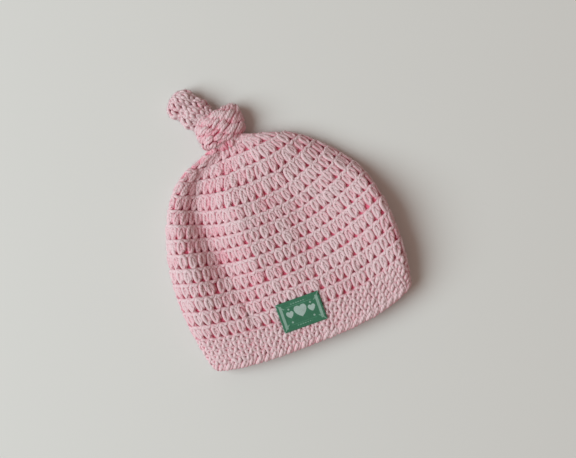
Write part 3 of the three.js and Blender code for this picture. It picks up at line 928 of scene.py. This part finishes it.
def neck_fabric():
    """The short gathered neck between the crown and the knot."""
    path = NECK_START + np.linspace(0, 1, NECK_STEPS)[:, None] * NECK_WAY
    across = np.tile(np.array([1.0, 0, 0]), (NECK_STEPS, 1))
    wide, thick = np.full(NECK_STEPS, NECK_WIDE), np.full(NECK_STEPS, NECK_THICK)
    return tube_fabric(path, across, wide, thick, rows=SHORT_ROWS)


def work_tube(
    yarn, fabric, kind, pitch, count, scale=1.0, uneven=TUBE_UNEVEN, stagger=0.0, chosen=None,
):
    """Works rounds of stitches up a tube. chosen tells which ones to keep, by their middles, and stagger is
    how much higher every other one sits, in rounds."""
    h, phase = fabric.low, 0.0
    while h < fabric.high - TUBE_LAST_ROUND * pitch:
        tau = (np.arange(count) + phase) / count
        if chosen is not None:
            middle, _ = fabric.place(tau, np.full(count, h + pitch / 2), np.zeros(count))
            tau = tau[chosen(middle)]
        if len(tau):
            low = h + stagger * pitch * (np.arange(len(tau)) % 2)
            work_stitches(yarn, Stitches(fabric, tau, 1 / count, low, pitch, uneven), kind, scale=scale)
        h += pitch
        phase -= TUBE_DRIFT


knot = knot_fabric()
tail = tail_fabric()
neck = neck_fabric()
entry = entry_fabric()
work_tube(yarn_for("knot"), knot, "stretched", **KNOT_STITCHES)
work_tube(yarn_for("knot"), entry, "stretched", **ENTRY_STITCHES)
work_tube(yarn_for("tail_base"), tail, "close", **TAIL_STITCHES, chosen=lambda p: p[:, 1] < TAIL_BEND_Y)
work_tube(yarn_for("tail_end"), tail, "close", **TAIL_STITCHES, chosen=lambda p: p[:, 1] >= TAIL_BEND_Y)
work_tube(yarn_for("neck"), neck, "stretched", **NECK_STITCHES)

# ---- The label, its sewing and the yarn end ----

LABEL_WIDTH, LABEL_HEIGHT = 31.2, 20.8
LABEL_CENTRE = np.array([-3.3, 14.2])
LABEL_TURN = math.radians(-1.9)
LABEL_LIFT = 0.75  # the label's back above the outside of the fabric
LABEL_THICKNESS = 0.45
LABEL_EDGE, LABEL_DROOP = 0.9, 0.28  # how wide its soft edge is, and how far that droops
RIPPLE, RIPPLE_X, RIPPLE_Y, RIPPLE_PHASE = 0.10, 11.5, 8.4, 0.7
# Straight figures: from and to across, from and to up, how pale, and how much of each dash is woven.
BARS = ((12.0, 14.1, -1, 8.3, 0.62, 1.8), (-1, 5.4, 7.4, 8.1, 0.5, 1.2), (-1, 9.0, 6.2, 6.6, 0.35, 1.8))
DASH_PITCH, DASH_START = 1.8, 20
CORNER_U, CORNER_V, CORNER_HALF, CORNER_PALE = 14.4, 9.0, 0.45, 0.55
CORNER_FROM_U, CORNER_FROM_V = 10.4, 5.4
HEARTS = ((0.0, 4.7), (-7.9, 2.7), (7.9, 2.7))  # middle and half size
HEART_RISE, HEART_ROUND, HEART_CLEFT, HEART_PALE = 0.1, 0.62, 1.3, 0.9
DIAMONDS, DIAMOND_V, DIAMOND_HALF, DIAMOND_PALE = (-7.9, 7.9), 4.7, 0.8, 0.75
GREEN_STOPS = ((0.0, (0.035, 0.19, 0.10)), (0.28, (0.09, 0.31, 0.185)), (1.0, (0.52, 0.66, 0.61)))
THREAD_STOPS = ((0.3, (0.06, 0.18, 0.12)), (0.7, (0.12, 0.28, 0.2)))
WEAVE_SCALE, THREAD_SCALE = 1500.0, 2500.0
WEAVE_SHARE, WEAVE_SHIFT = 0.45, -0.22
RIB_PITCH = {"X": 0.34, "Y": 0.26}
FIGURE_RELIEF, WEAVE_STRENGTH, WEAVE_DEPTH = 0.8, 0.6, 0.00015
LABEL_ROUGHNESS, LABEL_SHEEN, THREAD_ROUGHNESS = 0.75, 0.15, 0.5
LABEL_COLUMNS, LABEL_ROWS = 157, 105


def on_label(u, v, lift):
    c, s = math.cos(LABEL_TURN), math.sin(LABEL_TURN)
    x = LABEL_CENTRE[0] + u * c - v * s
    y = LABEL_CENTRE[1] + u * s + v * c
    ripple = RIPPLE * np.sin(x * 2 * math.pi / RIPPLE_X + RIPPLE_PHASE) * np.sin(y * 2 * math.pi / RIPPLE_Y)
    return np.stack([x, y, outside_z(x, y) + lift + ripple], -1)


def woven_pattern(u, v):
    """How pale the weave is: end strips, dashes, rails, corner sprigs, and a row of hearts and diamonds."""
    pale = np.zeros_like(u)
    au, av = np.abs(u), np.abs(v)
    for left, right, low, high, level, woven in BARS:
        dash = np.mod(u + DASH_START, DASH_PITCH) < woven
        pale[(au > left) & (au < right) & (av > low) & (av < high) & dash] = level
    sprig = np.abs((CORNER_U - au) - (CORNER_V - av)) < CORNER_HALF
    pale[sprig & (au > CORNER_FROM_U) & (av > CORNER_FROM_V)] = CORNER_PALE
    for centre, size in HEARTS:
        a, b = (u - centre) / size, (v - HEART_RISE * size) / size
        pale[(a * a + b * b - HEART_ROUND) ** 3 - HEART_CLEFT * a * a * b ** 3 < 0] = HEART_PALE
    for centre in DIAMONDS:
        pale[np.abs(u - centre) + np.abs(av - DIAMOND_V) / DIAMOND_HALF < 1] = DIAMOND_PALE
    return pale


def label_material():
    """Close woven ribbon: a dark green ground with pale green figures, ribbed by its weft."""
    material, tree, shader = new_material("green_ribbon")
    pale = attribute(tree, "pale")
    level = multiply_add(tree, noise(tree, WEAVE_SCALE), WEAVE_SHARE, pale)
    paint(tree, shader, multiply_add(tree, level, 1.0, WEAVE_SHIFT), GREEN_STOPS)
    split = mapped(tree)
    both = node(tree, "ShaderNodeMath", operation="MULTIPLY")
    for k, (axis, pitch) in enumerate(RIB_PITCH.items()):
        tree.links.new(sine(tree, split[axis], 2 * math.pi / pitch), both.inputs[k])
    height = multiply_add(tree, pale, FIGURE_RELIEF, both.outputs[0])
    emboss(tree, shader, height, WEAVE_STRENGTH, WEAVE_DEPTH)
    shader.inputs["Roughness"].default_value = LABEL_ROUGHNESS
    shader.inputs["Sheen Weight"].default_value = LABEL_SHEEN
    return material


def make_label():
    nu, nv = LABEL_COLUMNS, LABEL_ROWS
    columns, rows = np.linspace(-0.5, 0.5, nu) * LABEL_WIDTH, np.linspace(-0.5, 0.5, nv) * LABEL_HEIGHT
    u, v = np.meshgrid(columns, rows, indexing="ij")
    edge = np.minimum(LABEL_WIDTH / 2 - np.abs(u), LABEL_HEIGHT / 2 - np.abs(v))
    droop = LABEL_DROOP * (1 - smooth(edge, 0, LABEL_EDGE))
    top = on_label(u, v, LABEL_LIFT + LABEL_THICKNESS - droop)
    back = on_label(u, v, LABEL_LIFT - 0.5 * droop)
    size = nu * nv
    r, c = (a.ravel() for a in np.meshgrid(np.arange(nu - 1), np.arange(nv - 1), indexing="ij"))
    cell = np.stack([r * nv + c, (r + 1) * nv + c, (r + 1) * nv + c + 1, r * nv + c + 1], -1)
    border = np.concatenate([
        np.arange(nu) * nv, (nu - 1) * nv + np.arange(1, nv), np.arange(nu - 2, -1, -1) * nv + nv - 1,
        np.arange(nv - 2, 0, -1),
    ])
    nxt = np.roll(border, -1)
    sides = np.stack([nxt, border, border + size, nxt + size], -1)
    quads = np.concatenate([cell, cell[:, ::-1] + size, sides])
    verts = np.concatenate([top.reshape(-1, 3), back.reshape(-1, 3)])
    flat = np.tile(np.stack([u.ravel(), v.ravel()], -1), (2, 1))
    pale = np.tile(woven_pattern(u, v).ravel(), 2)
    uvs = flat[quads].reshape(-1, 2)
    return make_mesh("green_side_label", verts, quads, label_material(), uvs, {"pale": pale})


SEWING_STITCHES = 8
SEWING_NOISE, SEWING_SLANT = 0.12, 0.35
SEWING_INSET, SEWING_REACH = 1.3, 2.1  # from the label's end to a stitch's start, and its length
SEWING_SINK, SEWING_ARCH, SEWING_DIVE = 0.25, 0.55, 0.9
SEWING_STEPS, THREAD_SIDES = 9, 7
ARCH_END = 1.1  # half turns that the arch would make over a stitch if it did not stop at one
THREAD_RADIUS = 0.2
THREAD_OUT = 1.2  # the height out of the fabric that the thread counts as


def make_sewing(side):
    """Small slanted stitches of thread over one end of the label."""
    yarn = Yarn()
    v = (np.arange(SEWING_STITCHES) + 0.5) / SEWING_STITCHES * LABEL_HEIGHT - LABEL_HEIGHT / 2
    v = v + rng.normal(0, SEWING_NOISE, SEWING_STITCHES)
    t = np.linspace(0, 1, SEWING_STEPS)
    u = side * (LABEL_WIDTH / 2 - SEWING_INSET + SEWING_REACH * t)
    bow = SEWING_ARCH * np.sin(math.pi * np.clip(t * ARCH_END, 0, 1))
    arch = LABEL_LIFT + LABEL_THICKNESS - SEWING_SINK + bow - SEWING_DIVE * t ** 4
    points = on_label(
        np.broadcast_to(u, (len(v), len(t))), v[:, None] + SEWING_SLANT * (t - 0.5)[None, :],
        np.broadcast_to(arch, (len(v), len(t))),
    )
    normals = np.broadcast_to(Z_AXIS, points.shape)
    yarn.add(points, normals, np.zeros(points.shape[:2]) + THREAD_OUT, THREAD_RADIUS, THREAD_SIDES)
    return yarn.build(f"label_thread_{'left' if side < 0 else 'right'}", thread_material)


def thread():
    material, tree, shader = new_material("green_thread")
    paint(tree, shader, noise(tree, THREAD_SCALE), THREAD_STOPS)
    shader.inputs["Roughness"].default_value = THREAD_ROUGHNESS
    return material


YARN_END_RADIUS, YARN_END_OUT, YARN_END_SIDES = 1.05, 1.4, 12
YARN_END_STEPS = 40


def make_yarn_end():
    """The last few centimetres of yarn, woven in along the back layer just inside the brim."""
    low, high = (np.array(corner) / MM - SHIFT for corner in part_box("woven_in_yarn_end"))
    middle = (low + high) / 2
    corners = [
        (low[0], low[1] + 1.4, middle[2] + 0.6), (low[0] + 4, middle[1] + 0.5, middle[2]),
        (middle[0] + 2, high[1] - 1.3, middle[2] - 0.2), (high[0], low[1] + 1.2, middle[2] - 0.2),
    ]
    points = smooth_curve(corners, YARN_END_STEPS)
    yarn = Yarn()
    size = np.full((1, len(points)), YARN_END_RADIUS)
    out = np.full((1, len(points)), YARN_END_OUT)
    yarn.add(points[None], np.broadcast_to(Z_AXIS, (1, len(points), 3)), out, size, YARN_END_SIDES)
    return yarn.build("yarn_tail_inside", yarn_material)


thread_material = thread()

# ---- Fuzz ----

FIBRE_LENGTH, FIBRE_ROOT = (0.8, 2.6), (0.9, 1.9)  # shortest and longest, lowest and highest start
FIBRE_WANDER, FIBRE_SPREAD = 1.0, 0.8
FIBRE_RISE, FIBRE_CURL = 0.55, 0.8
FIBRE_RADIUS, FIBRE_OUT, FIBRE_STEPS = 0.055, 1.8, 5


def make_fuzz(name, fabric, count, low, high, chosen=None):
    """Loose fibres that stand out of the yarn and curl over."""
    tau, h = rng.random(count), rng.uniform(low, high, count)
    t = np.linspace(0, 1, FIBRE_STEPS)[None, :]
    length = rng.uniform(*FIBRE_LENGTH, (count, 1))
    way = rng.uniform(0, 2 * math.pi, (count, 1))
    bend = way + rng.normal(0, FIBRE_WANDER, (count, 1)) * t
    around = length * t * np.cos(bend) * FIBRE_SPREAD
    up = length * t * np.sin(bend) * FIBRE_SPREAD
    rise = FIBRE_RISE * np.sin(math.pi * FIBRE_CURL * t)
    lift = rng.uniform(*FIBRE_ROOT, (count, 1)) + length * rise
    tube = fabric.round_length(float(np.mean(h)))
    points, normals = fabric.place(tau[:, None] + around / tube, h[:, None] + up, lift)
    if chosen is not None:
        kept = chosen(points[:, 0])
        points, normals, lift = points[kept], normals[kept], lift[kept]
    yarn = Yarn()
    yarn.add(points, normals, np.full(points.shape[:2], FIBRE_OUT), FIBRE_RADIUS, 3)
    return yarn.build(name, yarn_material)


# ---- Pieces on the frame ----

def bind(piece, held, replaces=()):
    """held is the body that the piece rides on; a piece held by a bend, given as two bodies and where it
    starts and ends, is only baked in place.
    """
    if isinstance(held, tuple):
        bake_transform(piece)
    else:
        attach(piece, held)
    if replaces:
        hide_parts(*replaces)
    return piece


# The bend from the back layer to the front one across the side folds: two bodies, and where it starts and
# ends.
FRONT_LIFT = ("back_and_crown", "front_layer", (0, 100, 4.2), (0, 100, 12.0))
GATHER_BEND = ("back_and_crown", "neck", (-8, 139.5, 10.5), (-8, 146.0, 10.5))
NECK_BEND = ("neck", "knot", (-8, 142.5, 10.5), (-8, 148.0, 10.5))
ROOT_BEND = ("knot", "tail_base", (-16.6, 160.7, 8.6), (-20.4, 165.8, 8.6))
TIP_BEND = ("tail_base", "tail_tip", (-17.8, 163.0, 8.6), (-24.6, 172.0, 8.6))
GATHER_SHADE, NECK_SHADE, KNOT_SHADE = 0.1, 0.25, 0.06  # paleness taken off as painted shade, on the gathered rounds, the neck and the knot

# The pieces of stitches, by what holds them and how much painted shade they get: yarn, name, and the node
# replaced.
WORKED_PIECES = (
    (FRONT_LIFT, 0.0, (
        ("brim_front", "stitches_brim_front", "front_brim_band"),
        ("brim_back", "stitches_brim_back", "back_brim_band"),
        ("lower_front", "stitches_body_front_low", "front_body_panel"),
        ("upper_front", "stitches_body_front_high"),
        ("lower_back", "stitches_body_back_low", "back_body_panel"),
        ("upper_back", "stitches_body_back_high"),
        ("ridges", "stitch_tops_body"), ("inside", "stitches_inside"),
    )),
    ("back_and_crown", 0.0, (
        ("crown_front", "stitches_crown_front", "crown_cap"), ("crown_back", "stitches_crown_back"),
        ("crown_ridges", "stitch_tops_crown"),
    )),
    (GATHER_BEND, GATHER_SHADE, (
        ("gather_front", "stitches_gather_front"), ("gather_back", "stitches_gather_back"),
    )),
    (NECK_BEND, NECK_SHADE, (("neck", "stitches_neck", "tail_neck"),)),
    ("knot", KNOT_SHADE, (("knot", "stitches_knot", "tail_knot"),)),
    (ROOT_BEND, 0.0, (("tail_base", "stitches_tail_base", "tail_root"),)),
    (TIP_BEND, 0.0, (("tail_end", "stitches_tail_end", "tail_end"),)),
)
for held, piece_shade, pieces in WORKED_PIECES:
    for key, name, *nodes in pieces:
        bind(yarns[key].build(name, yarn_material, piece_shade), held, nodes)


def below_seam(middle, past=0):
    return middle[:, 1] < SEAM_Y + past


def above_seam(middle, past=0):
    return middle[:, 1] >= SEAM_Y - past


# Sheets of painted shade behind the stitches. Name, fabric, rows, columns, what holds it, and what else
# differs.
SHADE_SHEETS = (
    ("body", hat, 120, 360, FRONT_LIFT, {"keep": lambda p: below_seam(p, 1)}),
    ("crown", hat, 120, 360, "back_and_crown", {"keep": lambda p: above_seam(p, 1)}),
    ("knot", knot, 70, 60, "knot", {}), ("entry", entry, 20, 40, "knot", {}),
    ("tail", tail, 50, 48, TIP_BEND, {"start": 0, "end": 0.2, "material": tail_shade_sheet_wool}),
    ("neck", neck, 12, 40, NECK_BEND, {}),
)
for name, fabric, rows, columns, held, others in SHADE_SHEETS:
    bind(shade_sheet(f"shade_sheet_{name}", fabric, rows, columns, **others), held)

# Name, fabric, fibres, the heights that they lie between, what holds them, and which ones are kept.
FUZZ = (
    ("body", hat, 5200, 1, CROWN_END, FRONT_LIFT, below_seam),
    ("crown", hat, 2200, 100, CROWN_END, "back_and_crown", above_seam),
    ("knot", knot, 1300, knot.low, knot.high, "knot", None),
    ("tail", tail, 1000, tail.low, tail.high, TIP_BEND, None),
)
for name, fabric, count, low, high, held, chosen in FUZZ:
    bind(make_fuzz(f"fuzz_{name}", fabric, count, low, high, chosen), held)

label = bind(make_label(), "front_layer", ("woven_label",))
sewing_left = bind(make_sewing(-1), "front_layer", ("label_sewing_left",))
sewing_right = bind(make_sewing(1), "front_layer", ("label_sewing_right",))
bind(make_yarn_end(), "back_and_crown", ("woven_in_yarn_end",))


# ---- Floor, light and camera ----

FLOOR_HALF, FLOOR_COLOUR, FLOOR_ROUGHNESS = 3.0, (0.72, 0.72, 0.695, 1), 0.9
KEY_PLACE, KEY_SIZE, KEY_WATTS, KEY_COLOUR = (-2.10, 0.50, 2.02), 2.6, 92, (0.88, 1.0, 1.03)
WORLD_COLOUR, WORLD_STRENGTH = (1.0, 0.73, 0.62, 1), 0.288
LOOK_AT = (9.1, 70.9, 9.0)
CAMERA_HEIGHT = 0.70  # above the point that it looks at
CAMERA_TURN = -21.5
VIEW_WIDTH = 0.4032  # what the frame is wide at the hat's middle height
SENSOR_WIDTH = 36


def floor():
    mesh = bpy.data.meshes.new("floor")
    size = FLOOR_HALF
    corners = [(-size, -size, 0), (size, -size, 0), (size, size, 0), (-size, size, 0)]
    mesh.from_pydata(corners, [], [(0, 1, 2, 3)])
    material, tree, shader = new_material("pale_floor")
    shader.inputs["Base Color"].default_value = FLOOR_COLOUR
    shader.inputs["Roughness"].default_value = FLOOR_ROUGHNESS
    mesh.materials.append(material)
    piece = bpy.data.objects.new("floor", mesh)
    bpy.context.scene.collection.objects.link(piece)


def key_light():
    lamp = bpy.data.lights.new("key", "AREA")
    lamp.shape = "DISK"
    lamp.size = KEY_SIZE
    lamp.energy = KEY_WATTS
    lamp.color = KEY_COLOUR
    holder = bpy.data.objects.new("key", lamp)
    holder.location = KEY_PLACE
    holder.rotation_euler = (-Vector(KEY_PLACE)).to_track_quat("-Z", "Y").to_euler()
    bpy.context.scene.collection.objects.link(holder)


def camera():
    """Straight above the hat, turned so that the tail points up and to the left."""
    look_at = (np.array(LOOK_AT) + SHIFT) * MM
    lens = bpy.data.cameras.new("camera")
    lens.sensor_width = SENSOR_WIDTH
    lens.lens = SENSOR_WIDTH * CAMERA_HEIGHT / VIEW_WIDTH
    holder = bpy.data.objects.new("camera", lens)
    place = Matrix.Translation((look_at[0], look_at[1], look_at[2] + CAMERA_HEIGHT))
    holder.matrix_world = place @ Matrix.Rotation(math.radians(CAMERA_TURN), 4, "Z")
    bpy.context.scene.collection.objects.link(holder)
    bpy.context.scene.camera = holder


def world_light():
    world = bpy.data.worlds.new("studio")
    world.use_nodes = True
    sky = world.node_tree.nodes["Background"]
    sky.inputs["Color"].default_value = WORLD_COLOUR
    sky.inputs["Strength"].default_value = WORLD_STRENGTH
    bpy.context.scene.world = world


floor()
key_light()
world_light()
camera()
bpy.context.scene.view_settings.view_transform = "Standard"
